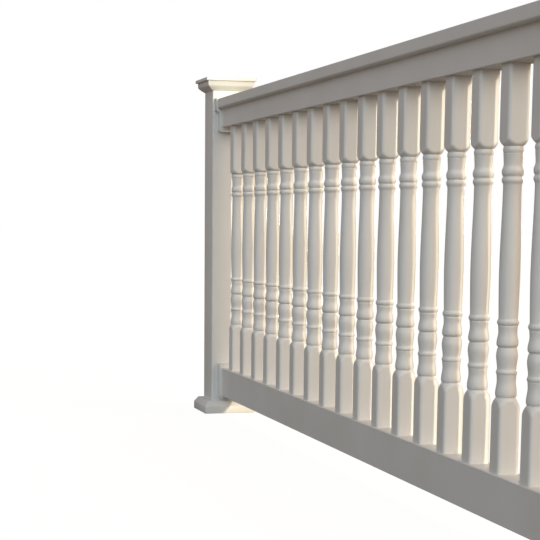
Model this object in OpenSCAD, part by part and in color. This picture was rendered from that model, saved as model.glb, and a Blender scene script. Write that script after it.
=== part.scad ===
// Vinyl railing, two bays between three posts.
// Hollow post sleeves with moulded caps and base trims carry cup brackets. The brackets
// hold a T-shaped top rail and a box bottom rail, and turned spindles stand between them.
// Millimetres. The origin is the foot of the left post, +X runs along the rails, +Z is up.

/* [Posts] */
// Width of the square post sleeve
post_w = 101.6; // [95:0.1:127]
// Wall of the post sleeve
post_wall = 3.4; // [2:0.1:5]
// Outside corner radius of the post sleeve
post_round = 4; // [1:0.5:6]
// Distance between post centres
post_spacing = 2438.4; // [2380:0.1:2600]

/* [Rail heights] */
// Top of the top rail above the floor
rail_top = 914.4; // [860:0.1:1070]
// Clear gap between the floor and the bottom rail
rail_gap = 52; // [40:1:80]
// Wall of both rails
rail_wall = 2.8; // [2:0.1:4]
// Edge radius of the bottom rail and of the top rail's body
rail_round = 1.5; // [1:0.5:5]

/* [Top rail] */
// Width of the flat slab that a hand rests on
slab_w = 85; // [75:1:100]
// Height of the slab's edge
slab_h = 26.8; // [22:0.1:34]
// How far the slab's underside slopes down to the body
slab_drop = 1.5; // [1:0.1:5]
// Width of the body under the slab
body_w = 56; // [50:1:62]
// Edge radius of the slab's upper edges
slab_round = 1.5; // [1:0.5:5]
// Edge radius of the slab's lower edges
slab_low_round = 4.5; // [1:0.5:6]
// Height of the whole top rail
top_rail_h = 80; // [70:1:95]

/* [Bottom rail] */
// Width of the bottom rail
low_w = 51; // [46:1:60]
// Height of the bottom rail
low_h = 83.5; // [70:0.5:95]

/* [Spindles] */
// Width of a spindle's square ends
spindle_w = 39.4; // [30:0.1:42]
// Corner radius of the square ends
spindle_round = 5; // [2:0.5:6]
// Number of spindles in a bay
spindle_count = 18; // [2:1:18]
// Distance between spindle centres
spindle_pitch = 125.4; // [90:0.1:127]
// Visible length of the lower square end
square_low = 115; // [90:0.5:150]
// Length of the turned part between the square ends
turned_len = 459; // [400:1:500]
// How far a spindle reaches up inside the top rail
spindle_entry = 20; // [5:1:40]

/* [Brackets] */
// How far a bracket stands out from its post
cup_len = 25; // [18:1:35]
// Back plate of a bracket, against the post
cup_back = 3; // [2:0.5:6]
// Lip around the slab of the top rail, at its sides and on top
slab_lip = 3.5; // [2:0.5:6]
// Lip under the slab of the top rail
slab_under_lip = 9; // [4:0.5:12]
// Lip beside the top rail's body
body_lip = 8.5; // [4:0.5:10]
// Lip under the top rail's body
body_under_lip = 14; // [4:0.5:18]
// Lip beside the bottom rail
low_lip = 8; // [3:0.5:10]
// Lip on top of the bottom rail
low_top_lip = 13.5; // [4:0.5:16]
// Lip under the bottom rail
low_under_lip = 6; // [2:0.5:8]

/* [Cap] */
// Width of the cap's top slab
cap_w = 148; // [135:1:160]
// Height of the cap slab's upper edge above the top rail
cap_rise = 61; // [50:1:90]
// Thickness of the cap slab's edge
cap_edge = 8.5; // [6:0.5:14]
// Rise of the cap's shallow roof in the middle
cap_crown = 4; // [1:0.5:6]
// Width of the fascia under the slab
fascia_w = 136; // [125:1:140]
// Height of the fascia
fascia_h = 11.5; // [6:0.5:14]
// Height of the slope from the fascia in to the sleeve
slope_h = 16; // [12:0.5:20]
// Play between the sleeve and what fits over it
sleeve_play = 0.3; // [0.1:0.1:1]

/* [Base trim] */
// Width of the base trim
trim_w = 151; // [140:1:165]
// Height of the base trim's upright sides
trim_side = 22; // [14:1:30]
// Height of the base trim's sloped shoulder
trim_slope = 14.5; // [8:0.5:18]
// How far the shoulder slopes in
trim_in = 11; // [6:0.5:14]
// Wall of the hollow base trim
trim_wall = 3.2; // [2:0.1:4]

/* [Hidden] */
$fn = 48;

post_half = post_w / 2;
cap_edge_z = rail_top + cap_rise;          // upper edge of the cap's slab
slab_under_z = cap_edge_z - cap_edge;      // underside of the cap's slab
fascia_under_z = slab_under_z - fascia_h;  // lower edge of the fascia
cap_foot_z = fascia_under_z - slope_h;     // lower edge of the slope
sleeve_top = slab_under_z - 4;             // the sleeve stops inside the cap

opening = post_spacing - post_w;                         // clear width between posts
rail_start = post_half + cup_back;                       // a rail butts on the back plate
rail_len = opening - 2 * cup_back;
first_spindle = post_half + (opening - (spindle_count - 1) * spindle_pitch) / 2;

body_under_z = rail_top - top_rail_h;                    // underside of the top rail
low_top_z = rail_gap + low_h;                            // top of the bottom rail
spindle_foot = rail_gap + rail_wall;                     // a spindle stands in the rail
spindle_head = body_under_z + spindle_entry;
turned_z = low_top_z + square_low;                       // where the turning starts
hole_w = spindle_w + 0.5;                                // routed hole
clear_r = spindle_w * 0.72;                              // clear of the square's corners
corner_r = (spindle_w / 2 - spindle_round) * sqrt(2) + spindle_round - 0.3;  // just inside them

// ---- outlines ----

// A rectangle standing on the X axis, with one radius below and another above
module rounded(w, h, r_low, r_top) {
  translate([-w / 2 + r_low, 0]) square([w - 2 * r_low, h / 2 + 0.1]);
  translate([-w / 2 + r_top, h / 2]) square([w - 2 * r_top, h / 2]);
  translate([-w / 2, r_low]) square([w, h - r_low - r_top]);
  for (s = [-1, 1]) {
    translate([s * (w / 2 - r_low), r_low]) circle(r_low);
    translate([s * (w / 2 - r_top), h - r_top]) circle(r_top);
  }
}

// A square with rounded corners, centred
module rounded_square(w, r) {
  square([w - 2 * r, w], center = true);
  square([w, w - 2 * r], center = true);
  for (x = [-1, 1], y = [-1, 1]) translate([x * (w / 2 - r), y * (w / 2 - r)]) circle(r);
}

// Outline of the T-shaped top rail, taken in by t all round
module tee(t) {
  r = max(slab_low_round - t, 0.2);
  under = rail_top - slab_h + t;
  root = under - slab_drop;
  half = slab_w / 2 - t;
  translate([0, under]) rounded(2 * half, slab_h - 2 * t, r, max(slab_round - t, 0.2));
  polygon([
    [r - half, under], [-body_w / 2 + t, root], [body_w / 2 - t, root],
    [half - r, under], [half - r, under + r], [r - half, under + r]
  ]);
  translate([0, body_under_z + t])
    rounded(body_w - 2 * t, root - body_under_z - t + 5, max(rail_round - t, 0.2), 0.2);
}

// Outline of the bottom rail, taken in by t all round
module box_rail(t) {
  r = max(rail_round - t, 0.2);
  translate([0, rail_gap + t]) rounded(low_w - 2 * t, low_h - 2 * t, r, r);
}

// ---- placing ----

module along_x(start, len) {
  translate([start, 0, 0]) rotate([90, 0, 90]) linear_extrude(len) children();
}

module at_post(i) {
  translate([i * post_spacing, 0, 0]) children();
}

// A bracket on the right side of post i (side = 1) or on its left side (side = -1)
module at_bracket(i, side) {
  if (side > 0) at_post(i) children();
  else at_post(i) mirror([1, 0, 0]) children();
}

// ---- posts ----

module post_sleeve() {
  color("#eceae4") difference() {
    linear_extrude(sleeve_top) rounded_square(post_w, post_round);
    translate([0, 0, -1]) linear_extrude(sleeve_top + 2)
      rounded_square(post_w - 2 * post_wall, 1.5);
  }
}

// Side outline of the cap: slab with a shallow roof, fascia, and a slope in to the sleeve
module cap_outline() {
  half = [
    [cap_w / 2, cap_edge_z], [cap_w / 2, slab_under_z], [fascia_w / 2, slab_under_z],
    [fascia_w / 2, fascia_under_z], [fascia_w / 2 - 1.8, fascia_under_z - 4],
    [post_half + 3, cap_foot_z + 1.5], [post_half + 1.6, cap_foot_z]
  ];
  polygon(concat(
    [[0, cap_edge_z + cap_crown]], half,
    [for (i = [len(half) - 1 : -1 : 0]) [-half[i][0], half[i][1]]]
  ));
}

module post_cap() {
  color("#f0eee9") difference() {
    intersection() {
      rotate([90, 0, 0]) linear_extrude(cap_w + 2, center = true) cap_outline();
      rotate([90, 0, 90]) linear_extrude(cap_w + 2, center = true) cap_outline();
    }
    translate([0, 0, cap_foot_z - 1]) linear_extrude(sleeve_top - cap_foot_z + 1)
      rounded_square(post_w + 2 * sleeve_play, post_round);
  }
}

// Side outline of the base trim, taken in by t
module trim_outline(t) {
  h = trim_side + trim_slope - t;
  polygon([
    [-trim_w / 2 + t, -t], [-trim_w / 2 + t, trim_side - t / 2],
    [-trim_w / 2 + trim_in + t, h], [trim_w / 2 - trim_in - t, h],
    [trim_w / 2 - t, trim_side - t / 2], [trim_w / 2 - t, -t]
  ]);
}

module base_trim() {
  color("#eeece6") difference() {
    intersection() {
      rotate([90, 0, 0]) linear_extrude(trim_w + 2, center = true) trim_outline(0);
      rotate([90, 0, 90]) linear_extrude(trim_w + 2, center = true) trim_outline(0);
    }
    difference() {
      intersection() {
        rotate([90, 0, 0]) linear_extrude(trim_w, center = true) trim_outline(trim_wall);
        rotate([90, 0, 90]) linear_extrude(trim_w, center = true) trim_outline(trim_wall);
      }
      translate([0, 0, -5]) linear_extrude(trim_side + trim_slope + 5)
        rounded_square(post_w + 2 * sleeve_play + 2 * trim_wall, post_round + trim_wall);
    }
    translate([0, 0, -1]) linear_extrude(trim_side + trim_slope + 2)
      rounded_square(post_w + 2 * sleeve_play, post_round);
  }
}

// ---- rails ----

// Square holes for the spindles of one bay, through one wall of a rail
module routed_holes(z, h) {
  for (k = [0 : spindle_count - 1])
    translate([first_spindle + k * spindle_pitch, 0, z]) linear_extrude(h)
      rounded_square(hole_w, spindle_round);
}

module top_rail() {
  color("#ebe9e4") difference() {
    along_x(rail_start, rail_len) tee(0);
    along_x(rail_start - 1, rail_len + 2) tee(rail_wall);
    routed_holes(body_under_z - 1, rail_wall + 2);
  }
}

module bottom_rail() {
  color("#e9e8e4") difference() {
    along_x(rail_start, rail_len) box_rail(0);
    along_x(rail_start - 1, rail_len + 2) box_rail(rail_wall);
    routed_holes(low_top_z - rail_wall - 1, rail_wall + 2);
  }
}

// ---- spindles ----

// A bead that swells from r0 to r1 and back, between heights z0 and z1
function bead(z0, z1, r0, r1) =
  [for (i = [0 : 4]) [r0 + (r1 - r0) * sin(45 * i), z0 + (z1 - z0) * i / 4]];

// The rounded underside of a lip, from r0 out to r1; a bend goes on from the lip
function lip(z0, z1, r0, r1) =
  [for (i = [0 : 3]) [r0 + (r1 - r0) * sin(22.5 * i), z0 + (z1 - z0) * (1 - cos(22.5 * i))]];

// A smooth bend from r0 to its narrowest or widest place r1 at height m, and back to r2
function bend(z0, m, z1, r0, r1, r2) = concat(
  [for (i = [0 : 3]) [r1 + (r0 - r1) * (1 + cos(45 * i)) / 2, z0 + (m - z0) * i / 4]],
  [for (i = [0 : 3]) [r1 + (r2 - r1) * pow(i / 3, 1.4), m + (z1 - m) * i / 3]]);
function upside_down(line) = [for (i = [len(line) - 1 : -1 : 0]) line[i]];

// A shoulder that rounds over from the square's corners in to a neck r, and the same upwards
function shoulder_in(z, h, r) = concat([[clear_r, z - 2.5]],
  [for (t = [1, 0.7, 0.45, 0.2, 0]) [r + (corner_r - r) * (1 - pow(1 - t, 1.7)), z + h * (1 - t)]]);
function shoulder_out(z, h, r) = concat(
  [for (t = [0, 0.2, 0.45, 0.7, 1]) [r + (corner_r - r) * (1 - pow(1 - t, 1.7)), z + h * t]],
  [[clear_r, z + h + 2.5]]);

// Right half of the turning, upwards from the end of the lower square
function turning(full) = concat(
  shoulder_in(-0.5, 18, 17.8),
  [[17.5, 17.7]],
  lip(19.5, 25.5, 17.3, 18.9),
  bend(25.5, 47, 57, 18.9, 16.5, 17.3),
  bead(57.5, 67, 16.9, full - 1.1),
  bend(67.5, 93, 103.5, 16.4, 19, 17),
  [[16.2, 104], [16.2, 106]],
  lip(106.5, 112.5, 16.4, 19.1),
  bend(112.5, 132, 142.5, 19.1, 16.3, 17.2),
  bead(143, 154.4, 16.9, full - 0.4),
  upside_down(bend(381, 233, 155, 15.8, 18.4, 16.8)),
  bead(384, 396, 16.4, full - 1.1),
  [[17, 396.5]],
  lip(398, 404, 17, 18.9),
  bend(404, 414.5, 435, 18.9, 15.9, 17),
  bead(435.5, 446.5, 17, 17.8),
  shoulder_out(turned_len - 11.5, 13, 17.2)
);

module spindle() {
  intersection() {
    translate([0, 0, spindle_foot]) linear_extrude(spindle_head - spindle_foot)
      rounded_square(spindle_w, spindle_round);
    rotate_extrude() polygon(concat(
      [[0, spindle_foot - 1], [clear_r, spindle_foot - 1]],
      [for (p = turning(spindle_w / 2)) [p[0], p[1] + turned_z]],
      [[clear_r, spindle_head + 1], [0, spindle_head + 1]]
    ));
  }
}

module spindles() {
  color("#f2f0eb") for (k = [0 : spindle_count - 1])
    translate([first_spindle + k * spindle_pitch, 0, 0]) spindle();
}

// ---- brackets ----

module top_bracket() {
  slab_low = rail_top - slab_h - slab_under_lip;
  body_low = body_under_z - body_under_lip;
  color("#edebe5") difference() {
    along_x(post_half, cup_len) {
      translate([0, slab_low])
        rounded(slab_w + 2 * slab_lip, rail_top + slab_lip - slab_low, 6, 3);
      translate([0, body_low])
        rounded(body_w + 2 * body_lip, slab_low + 12 - body_low, 7, 1);
    }
    along_x(rail_start, cup_len) tee(0);
  }
}

module bottom_bracket() {
  low = rail_gap - low_under_lip;
  color("#edebe5") difference() {
    along_x(post_half, cup_len)
      translate([0, low]) rounded(low_w + 2 * low_lip, low_h + low_under_lip + low_top_lip, 8, 6);
    along_x(rail_start, cup_len) box_rail(0);
  }
}

at_post(0) post_sleeve();  // post_sleeve_left
at_post(1) post_sleeve();  // post_sleeve_middle
at_post(2) post_sleeve();  // post_sleeve_right
at_post(0) post_cap();  // post_cap_left
at_post(1) post_cap();  // post_cap_middle
at_post(2) post_cap();  // post_cap_right
at_post(0) base_trim();  // base_trim_left
at_post(1) base_trim();  // base_trim_middle
at_post(2) base_trim();  // base_trim_right
at_post(0) top_rail();  // top_rail_left_bay
at_post(1) top_rail();  // top_rail_right_bay
at_post(0) bottom_rail();  // bottom_rail_left_bay
at_post(1) bottom_rail();  // bottom_rail_right_bay
at_post(0) spindles();  // spindles_left_bay
at_post(1) spindles();  // spindles_right_bay
at_bracket(0, 1) top_bracket();  // top_bracket_1
at_bracket(1, -1) top_bracket();  // top_bracket_2
at_bracket(1, 1) top_bracket();  // top_bracket_3
at_bracket(2, -1) top_bracket();  // top_bracket_4
at_bracket(0, 1) bottom_bracket();  // bottom_bracket_1
at_bracket(1, -1) bottom_bracket();  // bottom_bracket_2
at_bracket(1, 1) bottom_bracket();  // bottom_bracket_3
at_bracket(2, -1) bottom_bracket();  // bottom_bracket_4
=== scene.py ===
"""White vinyl railing: hollow posts, a T-shaped top rail, a box bottom rail and turned spindles."""

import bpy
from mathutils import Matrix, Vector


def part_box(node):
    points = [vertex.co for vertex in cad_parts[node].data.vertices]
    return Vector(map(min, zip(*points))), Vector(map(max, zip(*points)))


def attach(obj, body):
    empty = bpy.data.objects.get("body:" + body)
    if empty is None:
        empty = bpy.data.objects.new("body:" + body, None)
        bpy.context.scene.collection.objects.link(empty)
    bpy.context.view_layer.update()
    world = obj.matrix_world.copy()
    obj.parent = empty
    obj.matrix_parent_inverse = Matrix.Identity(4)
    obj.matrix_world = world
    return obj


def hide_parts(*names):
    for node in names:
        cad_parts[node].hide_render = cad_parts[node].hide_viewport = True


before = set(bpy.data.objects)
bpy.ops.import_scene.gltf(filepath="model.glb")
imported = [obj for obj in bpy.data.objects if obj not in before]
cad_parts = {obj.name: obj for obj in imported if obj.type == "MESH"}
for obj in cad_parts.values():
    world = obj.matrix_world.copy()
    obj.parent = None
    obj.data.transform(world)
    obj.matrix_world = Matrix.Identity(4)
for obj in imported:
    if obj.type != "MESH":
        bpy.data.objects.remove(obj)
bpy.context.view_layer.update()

import math

import bmesh
import bpy
from mathutils import Matrix, Vector

POSTS = ("left", "middle", "right")
BAYS = ("left", "right")
SPINDLES_PER_BAY = 18

# outlines are drawn in millimetres and made in metres
MM = 0.001
MERGE = 0.01 * MM

SLEEVE_WALL = 3.4
SLEEVE_CORNER = 4.0
FIT_GAP = 0.3  # from the sleeve to the mouldings around it

# the cap's heights are measured down from the peak of its roof
ROOF_RISE = 4.0
SLAB_FOOT = 12.5
FASCIA_FOOT = 24.0
FASCIA_IN = 6.0
POCKET_TOP = 16.5
CAP_EDGE = 0.9

SKIRT_SHELL = 3.2
SKIRT_SHOULDER = 14.5
SKIRT_SHOULDER_IN = 11.0
SKIRT_EDGE = 1.1

TURNED_START = 115.0  # above the top of the bottom rail
TURNED_LENGTH = 459.0
SPINDLE_CORNER = 5.0


# ---- small tools ----

def linear(hex_code):
    """Turns an sRGB hex colour into the linear colour that a shader reads."""
    parts = [int(hex_code[i:i + 2], 16) / 255 for i in (1, 3, 5)]
    return tuple(c / 12.92 if c <= 0.04045 else ((c + 0.055) / 1.055) ** 2.4 for c in parts) + (1.0,)


def empty_tree(owner):
    """Gives a material or a world an empty tree of nodes."""
    owner.use_nodes = True
    owner.node_tree.nodes.clear()
    return owner.node_tree


def add(tree, kind, values=None, links=None, **settings):
    """Adds one node with its settings, its sockets' values and its links."""
    made = tree.nodes.new(kind)
    for name, value in settings.items():
        setattr(made, name, value)
    for socket, value in (values or {}).items():
        made.inputs[socket].default_value = value
    for socket, source in (links or {}).items():
        tree.links.new(source, made.inputs[socket])
    return made


def box_in_mm(node):
    """The lowest and the highest corner of a solid's box, in millimetres."""
    return [[v / MM for v in corner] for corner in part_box(node)]


def place_in_scene(name, data):
    """Makes an object of a mesh, a lamp or a camera."""
    made = bpy.data.objects.new(name, data)
    bpy.context.scene.collection.objects.link(made)
    return made


def finish_piece(name, bm, material, stands_for, smooth_deg=30):
    """Makes a bmesh a piece of the railing, and hides the solid that it stands for."""
    bmesh.ops.recalc_face_normals(bm, faces=bm.faces)
    mesh = bpy.data.meshes.new(name)
    bm.to_mesh(mesh)
    bm.free()
    mesh.materials.append(material)
    mesh.shade_smooth()
    mesh.set_sharp_from_angle(angle=math.radians(smooth_deg))
    piece = place_in_scene(name, mesh)
    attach(piece, "root")
    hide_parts(stands_for)


def points_of(geometry):
    """Picks the points out of what a bmesh operator made."""
    return [g for g in geometry if isinstance(g, bmesh.types.BMVert)]


def spin(bm, points, steps, joined=False):
    """Turns an outline of (reach, height) points once around the upright axis."""
    line = [bm.verts.new((reach * MM, 0, height * MM)) for reach, height in points]
    edges = [bm.edges.new(pair) for pair in zip(line, line[1:])]
    if joined:
        edges.append(bm.edges.new((line[-1], line[0])))
    bmesh.ops.spin(bm, geom=line + edges, cent=(0, 0, 0), axis=(0, 0, 1), angle=math.tau,
                   steps=steps, use_merge=True)


def soften(bm, width, test=lambda edge: True):
    """Rounds each picked edge that turns by more than 25 degrees, as a mould leaves it."""
    sharp = math.radians(25)
    edges = [e for e in bm.edges if e.is_manifold and e.calc_face_angle(0) > sharp and test(e)]
    bmesh.ops.bevel(bm, geom=edges, offset=width * MM, offset_type="OFFSET", segments=3,
                    profile=0.5, affect="EDGES", material=-1, clamp_overlap=True)


def copies(bm, places):
    """Repeats what a bmesh holds at each place, and leaves none at the origin."""
    template = bm.verts[:] + bm.edges[:] + bm.faces[:]
    for place in places:
        made = bmesh.ops.duplicate(bm, geom=template)["geom"]
        bmesh.ops.translate(bm, verts=points_of(made), vec=place)
    bmesh.ops.delete(bm, geom=points_of(template), context="VERTS")


# ---- vinyl ----

def vinyl(name, run, streak_mm, peel_mm, rough):
    """Rigid white PVC. The eye sees an even, slightly warm white with a soft sheen. Close by,
    faint streaks follow the way it ran through the die, and a moulded skin has a fine orange
    peel. A thin film of dust dulls what faces up."""
    shade, white, dusty = linear("#DBD9D4"), linear("#E1DFDB"), linear("#CFCCC4")
    cloud_mm = 160
    material = bpy.data.materials.new(name)
    tree = empty_tree(material)
    place = add(tree, "ShaderNodeTexCoord").outputs["Object"]
    # streaks are long along the run and a few millimetres wide across it
    stretched = add(tree, "ShaderNodeMapping", {"Scale": run}, {"Vector": place})
    streaks = add(tree, "ShaderNodeTexNoise", {"Scale": 1000 / streak_mm, "Detail": 3.0, "Roughness": 0.6},
                  {"Vector": stretched.outputs["Vector"]})
    clouds = add(tree, "ShaderNodeTexNoise", {"Scale": 1000 / cloud_mm, "Detail": 4.0, "Roughness": 0.55},
                 {"Vector": place})
    peel = add(tree, "ShaderNodeTexNoise", {"Scale": 1000 / peel_mm, "Detail": 2.0}, {"Vector": place})
    # old vinyl is uneven by only a shade or two
    tone = add(tree, "ShaderNodeValToRGB", links={"Fac": clouds.outputs["Fac"]})
    first, last = tone.color_ramp.elements
    first.position, last.position = 0.3, 0.7
    first.color, last.color = shade, white
    # dust lies in clouds, and only where the surface faces up
    surface = add(tree, "ShaderNodeNewGeometry")
    facing = add(tree, "ShaderNodeSeparateXYZ", links={"Vector": surface.outputs["Normal"]})
    film = add(tree, "ShaderNodeMapRange", {"From Min": 0.35, "From Max": 1.0, "To Max": 0.45},
               {"Value": facing.outputs["Z"]})
    dust = add(tree, "ShaderNodeMath", links={0: film.outputs["Result"], 1: clouds.outputs["Fac"]},
               operation="MULTIPLY")
    # a Mix node of colours keeps its factor at 0, its two colours at 6 and 7, and its result at 2
    skin = add(tree, "ShaderNodeMix", {7: dusty},
               {0: dust.outputs["Value"], 6: tone.outputs["Color"]}, data_type="RGBA")
    gloss = add(tree, "ShaderNodeMapRange", {"To Min": rough - 0.06, "To Max": rough + 0.08},
                {"Value": clouds.outputs["Fac"]})
    ripple = add(tree, "ShaderNodeBump", {"Strength": 0.12, "Distance": 0.0004},
                 {"Height": streaks.outputs["Fac"]})
    orange = add(tree, "ShaderNodeBump", {"Strength": 0.10, "Distance": 0.0002},
                 {"Height": peel.outputs["Fac"], "Normal": ripple.outputs["Normal"]})
    shader = add(tree, "ShaderNodeBsdfPrincipled", {"IOR": 1.53},
                 {"Base Color": skin.outputs[2], "Roughness": gloss.outputs["Result"],
                  "Normal": orange.outputs["Normal"]})
    add(tree, "ShaderNodeOutputMaterial", links={"Surface": shader.outputs["BSDF"]})
    return material


along_x, along_z, even = (0.02, 1.0, 1.0), (1.0, 1.0, 0.02), (1.0, 1.0, 1.0)
extruded_rail = vinyl("extruded_vinyl_rail", along_x, 6, 3, 0.42)
extruded_post = vinyl("extruded_vinyl_post", along_z, 8, 3, 0.42)
formed_spindle = vinyl("formed_vinyl_spindle", even, 40, 4, 0.40)
moulded_trim = vinyl("moulded_vinyl_trim", even, 30, 2, 0.38)


# ---- posts ----

def square_ring(points, joined):
    """A mitred square moulding: the side outline (half width, height) turned through four corners."""
    bm = bmesh.new()
    diagonal = math.sqrt(2)
    spin(bm, [(reach * diagonal, height) for reach, height in points], 4, joined)
    bmesh.ops.rotate(bm, verts=bm.verts, cent=(0, 0, 0), matrix=Matrix.Rotation(math.pi / 4, 3, "Z"))
    bmesh.ops.remove_doubles(bm, verts=bm.verts, dist=MERGE)
    bmesh.ops.recalc_face_normals(bm, faces=bm.faces)
    return bm


def cap_outline(slab, sleeve, roof, foot):
    """From the roof out over the slab, down the fascia and the slope, and up into the pocket."""
    fascia, pocket = slab - FASCIA_IN, sleeve + FIT_GAP
    crown = [(0, roof), (slab, roof - ROOF_RISE), (slab, roof - SLAB_FOOT)]
    front = [(fascia, roof - SLAB_FOOT), (fascia, roof - FASCIA_FOOT)]
    slope = [(fascia - 1.8, roof - 28), (fascia - 6, roof - 32), (sleeve + 2.6, foot + 1)]
    lower_edge = [(sleeve + 1.6, foot), (pocket, foot)]
    inside = [(pocket, roof - POCKET_TOP), (0, roof - POCKET_TOP)]
    return crown + front + slope + lower_edge + inside


def skirt_outline(skirt, sleeve, top):
    """Upright sides and a sloped shoulder around the sleeve, hollow underneath."""
    inner, brow, bend_z = sleeve + FIT_GAP, skirt - SKIRT_SHOULDER_IN, top - SKIRT_SHOULDER
    outside = [(skirt, 0), (skirt, bend_z), (brow, top), (inner, top), (inner, 0)]
    shell = SKIRT_SHELL
    inside = [(inner + shell, 0), (inner + shell, top - shell), (brow - shell, top - shell),
              (skirt - shell, bend_z - shell / 2), (skirt - shell, 0)]
    return outside + inside


def square_tube(half, height):
    """A square tube with rounded corners, open at both ends."""
    bm = bmesh.new()
    corners = [(-half, -half), (half, -half), (half, half), (-half, half)]
    bm.faces.new([bm.verts.new((x * MM, y * MM, 0)) for x, y in corners])
    bmesh.ops.bevel(bm, geom=bm.verts[:], offset=SLEEVE_CORNER * MM, offset_type="OFFSET", segments=5,
                    profile=0.5, affect="VERTICES", material=-1, clamp_overlap=False)
    rim = bm.edges[:]
    bmesh.ops.delete(bm, geom=bm.faces[:], context="FACES_ONLY")
    walls = bmesh.ops.extrude_edge_only(bm, edges=rim)["geom"]
    bmesh.ops.translate(bm, verts=points_of(walls), vec=(0, 0, height * MM))
    bmesh.ops.recalc_face_normals(bm, faces=bm.faces)
    bmesh.ops.solidify(bm, geom=bm.faces[:], thickness=SLEEVE_WALL * MM)
    return bm


def move_along(bm, distance):
    """Moves a post's piece along the run to its post."""
    bmesh.ops.translate(bm, verts=bm.verts, vec=(distance * MM, 0, 0))


for side in POSTS:
    low, high = box_in_mm(f"post_sleeve_{side}")
    centre, sleeve_half = (low[0] + high[0]) / 2, (high[0] - low[0]) / 2
    bm = square_tube(sleeve_half, high[2])
    move_along(bm, centre)
    finish_piece(f"sleeve_{side}", bm, extruded_post, f"post_sleeve_{side}")

    low, high = box_in_mm(f"post_cap_{side}")
    bm = square_ring(cap_outline((high[0] - low[0]) / 2, sleeve_half, high[2], low[2]), joined=False)
    soften(bm, CAP_EDGE)
    move_along(bm, centre)
    finish_piece(f"cap_{side}", bm, moulded_trim, f"post_cap_{side}")

    low, high = box_in_mm(f"base_trim_{side}")
    bm = square_ring(skirt_outline((high[0] - low[0]) / 2, sleeve_half, high[2]), joined=True)
    # the edges against the sleeve stay sharp
    clear = (sleeve_half + FIT_GAP + 4) * MM
    soften(bm, SKIRT_EDGE, lambda edge: max(abs(v.co.x) for v in edge.verts) > clear)
    move_along(bm, centre)
    finish_piece(f"skirt_{side}", bm, moulded_trim, f"base_trim_{side}")


# ---- spindles ----

def bead(z0, z1, r0, r1, n=6):
    """A bead swells from r0 to r1 and back."""
    return [(r0 + (r1 - r0) * math.sin(math.pi * i / n), z0 + (z1 - z0) * i / n) for i in range(n + 1)]


def lip(z0, z1, r0, r1, n=4):
    """The rounded underside of a lip, from r0 out to r1. A bend goes on from the lip."""
    turns = (math.pi / 2 * i / n for i in range(n))
    return [(r0 + (r1 - r0) * math.sin(a), z0 + (z1 - z0) * (1 - math.cos(a))) for a in turns]


def bend(z0, middle, z1, r0, r1, r2, n=5, m=4):
    """A smooth bend runs from r0 to its narrowest or widest place r1 and back to r2."""
    there = [(r1 + (r0 - r1) * (1 + math.cos(math.pi * i / n)) / 2, z0 + (middle - z0) * i / n)
             for i in range(n)]
    back = [(r1 + (r2 - r1) * (i / m) ** 1.4, middle + (z1 - middle) * i / m) for i in range(m + 1)]
    return there + back


def shoulder(z0, z1, wide, neck, n=6):
    """A shoulder rounds over from the square's corners at z0 in to a neck at z1."""
    return [(neck + (wide - neck) * (1 - (i / n) ** 1.7), z0 + (z1 - z0) * i / n) for i in range(n + 1)]


def turning(wide, full, corner):
    """The turned part from the foot up: its widest beads reach full, its square ends wide."""
    top = TURNED_LENGTH
    foot = [(wide, -3)] + shoulder(-0.5, 17.5, corner, 17.8) + [(17.5, 17.7)]
    low_cove = lip(19.5, 25.5, 17.3, 18.9) + bend(25.5, 47, 57, 18.9, 16.5, 17.3)
    low_bead = bead(57.5, 67, 16.9, full - 0.7)
    barrel = bend(67.5, 92, 103.5, 16.7, 19.1, 17.2) + [(16.2, 104), (16.2, 106)]
    mid_cove = lip(106.5, 112.5, 16.4, 19.1) + bend(112.5, 132, 142.5, 19.1, 16.3, 17.2)
    mid_bead = bead(143, 154.4, 16.9, full)
    shaft = bend(381, 233, 155, 15.8, 18.4, 16.8)[::-1]
    high_bead = bead(384, 396, 16.4, full - 0.7) + [(17, 396.5)]
    high_cove = lip(397.5, 405, 17, 18.9) + bend(405, 415.5, 434.6, 18.9, 16, 17.1)
    collar = bead(435, 446.5, 16.5, 17.9)
    head = shoulder(top + 1.5, top - 11.5, corner, 17.2)[::-1] + [(wide, top + 4)]
    return (foot + low_cove + low_bead + barrel + mid_cove + mid_bead + shaft
            + high_bead + high_cove + collar + head)


def draw_in_to_square(bm, half, corner_r):
    """Draws in what stands beyond a square with rounded corners, and leaves the rest round."""
    flat = half - corner_r
    for v in bm.verts:
        reach = math.hypot(v.co.x, v.co.y)
        if reach < MM:  # the middle of an end
            continue
        turn = math.atan2(v.co.y, v.co.x)
        turn += 0.11 * math.sin(4 * turn)  # packs the edges closer at the square's corners
        c, s = abs(math.cos(turn)), abs(math.sin(turn))
        edge = half / max(c, s)
        if min(c, s) * edge > flat:  # the corner's arc is met before the flat side
            along = flat * (c + s)
            edge = along + math.sqrt(along ** 2 - 2 * flat ** 2 + corner_r ** 2)
        reach = min(reach, edge * MM)
        v.co.x, v.co.y = reach * math.cos(turn), reach * math.sin(turn)


def spindle_template(foot, start, head, width):
    """One spindle at the origin, with square ends from foot and head to the turning."""
    half = width / 2
    corner = (half - SPINDLE_CORNER) * math.sqrt(2) + SPINDLE_CORNER
    wide = half * 1.44  # just past the square's corners
    full = half - 0.4
    turned = [(reach, height + start) for reach, height in turning(wide, full, corner)]
    bm = bmesh.new()
    spin(bm, [(0, foot), (wide, foot)] + turned + [(wide, head), (0, head)], steps=48)
    bmesh.ops.remove_doubles(bm, verts=bm.verts, dist=MERGE)
    draw_in_to_square(bm, half, SPINDLE_CORNER)
    return bm


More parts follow.
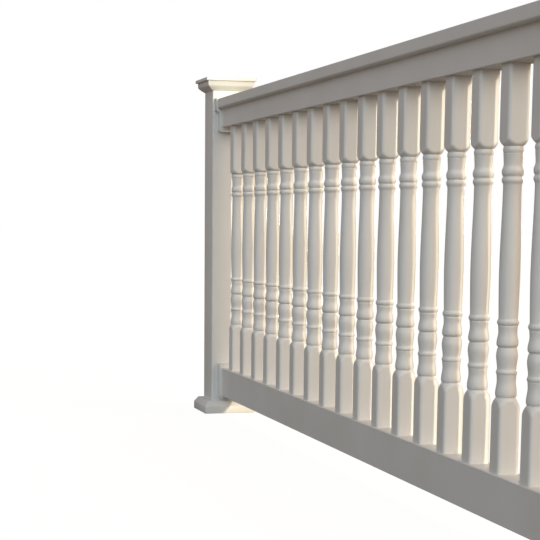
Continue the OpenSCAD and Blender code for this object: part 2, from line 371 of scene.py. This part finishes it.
for bay in BAYS:
    low, high = box_in_mm(f"spindles_{bay}_bay")
    width = high[1] - low[1]
    rail_top = box_in_mm(f"bottom_rail_{bay}_bay")[1][2]
    pitch = (high[0] - low[0] - width) / (SPINDLES_PER_BAY - 1)
    bm = spindle_template(low[2], rail_top + TURNED_START, high[2], width)
    copies(bm, [((low[0] + width / 2 + k * pitch) * MM, 0, 0) for k in range(SPINDLES_PER_BAY)])
    finish_piece(f"spindles_{bay}", bm, formed_spindle, f"spindles_{bay}_bay", smooth_deg=40)


# ---- rails and brackets keep their solids' shapes ----

for name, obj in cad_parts.items():
    if "rail" in name:
        obj.material_slots[0].material = extruded_rail
    elif "bracket" in name:
        obj.material_slots[0].material = moulded_trim


# ---- floor, light and camera ----

def floor_paint():
    """The eye sees a pale floor with a faint shadow, while only a little warm light comes back
    up from it."""
    material = bpy.data.materials.new("pale_floor_paint")
    tree = empty_tree(material)
    path = add(tree, "ShaderNodeLightPath")
    dull = add(tree, "ShaderNodeBsdfDiffuse", {"Color": linear("#7D766C")})
    pale = add(tree, "ShaderNodeBsdfDiffuse", {"Color": linear("#EDEBE6")})
    white = add(tree, "ShaderNodeEmission", {"Color": (1, 1, 1, 1), "Strength": 1.12})
    # a Mix Shader node keeps its two shaders at 1 and 2
    seen = add(tree, "ShaderNodeMixShader", {"Fac": 0.82},
               {1: pale.outputs["BSDF"], 2: white.outputs["Emission"]})
    paint = add(tree, "ShaderNodeMixShader", links={"Fac": path.outputs["Is Camera Ray"],
                                                    1: dull.outputs["BSDF"], 2: seen.outputs["Shader"]})
    add(tree, "ShaderNodeOutputMaterial", links={"Surface": paint.outputs["Shader"]})
    return material


def lay_floor(half_side):
    """A wide floor that keeps the railing's shadow."""
    bm = bmesh.new()
    bmesh.ops.create_grid(bm, x_segments=1, y_segments=1, size=half_side)
    mesh = bpy.data.meshes.new("floor")
    bm.to_mesh(mesh)
    bm.free()
    mesh.materials.append(floor_paint())
    place_in_scene("floor", mesh)


def hang_sky():
    """A weak warm light from all around, which the camera sees as plain white."""
    world = bpy.data.worlds.new("studio")
    bpy.context.scene.world = world
    tree = empty_tree(world)
    path = add(tree, "ShaderNodeLightPath")
    soft = add(tree, "ShaderNodeBackground", {"Color": linear("#FFE0D8"), "Strength": 0.235})
    plain = add(tree, "ShaderNodeBackground", {"Color": (1, 1, 1, 1), "Strength": 1.0})
    shown = add(tree, "ShaderNodeMixShader", links={"Fac": path.outputs["Is Camera Ray"],
                                                    1: soft.outputs["Background"],
                                                    2: plain.outputs["Background"]})
    add(tree, "ShaderNodeOutputWorld", links={"Surface": shown.outputs["Shader"]})


def sun_lamp(name, turn_deg, height_deg, level, spread_deg, colour):
    """A lamp far away, turned from +X towards +Y. A level of 1 renders a white that faces it
    as white."""
    lamp = bpy.data.lights.new(name, "SUN")
    lamp.energy = level * math.pi
    lamp.angle = math.radians(spread_deg)
    lamp.color = linear(colour)[:3]
    turn, height = math.radians(turn_deg), math.radians(height_deg)
    towards = Vector((math.cos(turn) * math.cos(height), math.sin(turn) * math.cos(height), math.sin(height)))
    place_in_scene(name, lamp).rotation_euler = towards.to_track_quat("Z", "Y").to_euler()


def look_from(eye, turn_deg, tip_deg, roll_deg):
    """Stands at eye and looks along -X, turned towards +Y, tipped and rolled."""
    turn, tip, roll = (math.radians(angle) for angle in (turn_deg, tip_deg, roll_deg))
    ahead = Vector((-math.cos(turn) * math.cos(tip), math.sin(turn) * math.cos(tip), math.sin(tip)))
    level = ahead.cross(Vector((0, 0, 1))).normalized()
    plumb = level.cross(ahead)
    right = level * math.cos(roll) + plumb * math.sin(roll)
    above = plumb * math.cos(roll) - level * math.sin(roll)
    return Matrix.Translation(eye) @ Matrix((right, above, -ahead)).transposed().to_4x4()


lay_floor(half_side=60)
hang_sky()
sun_lamp("low_warm_key", 6, 7, 0.66, 1.5, "#FFFAE2")
sun_lamp("soft_warm_light", 40, 30, 0.52, 60, "#FFE7C9")
sun_lamp("soft_cool_light", -40, 30, 0.45, 60, "#E0F5FF")
sun_lamp("light_from_behind", 145, 5, 0.4, 10, "#EEF3FF")

camera = bpy.data.cameras.new("view")
camera.lens = 102.64
camera.sensor_width = 36
camera.shift_y = 0.3126
camera.clip_start, camera.clip_end = 0.05, 200
viewer = place_in_scene("view", camera)
viewer.matrix_world = look_from((4.4823, -1.1097, 0.5689), turn_deg=15.643, tip_deg=-8.077, roll_deg=0.573)
bpy.context.scene.camera = viewer
bpy.context.scene.view_settings.view_transform = "Standard"
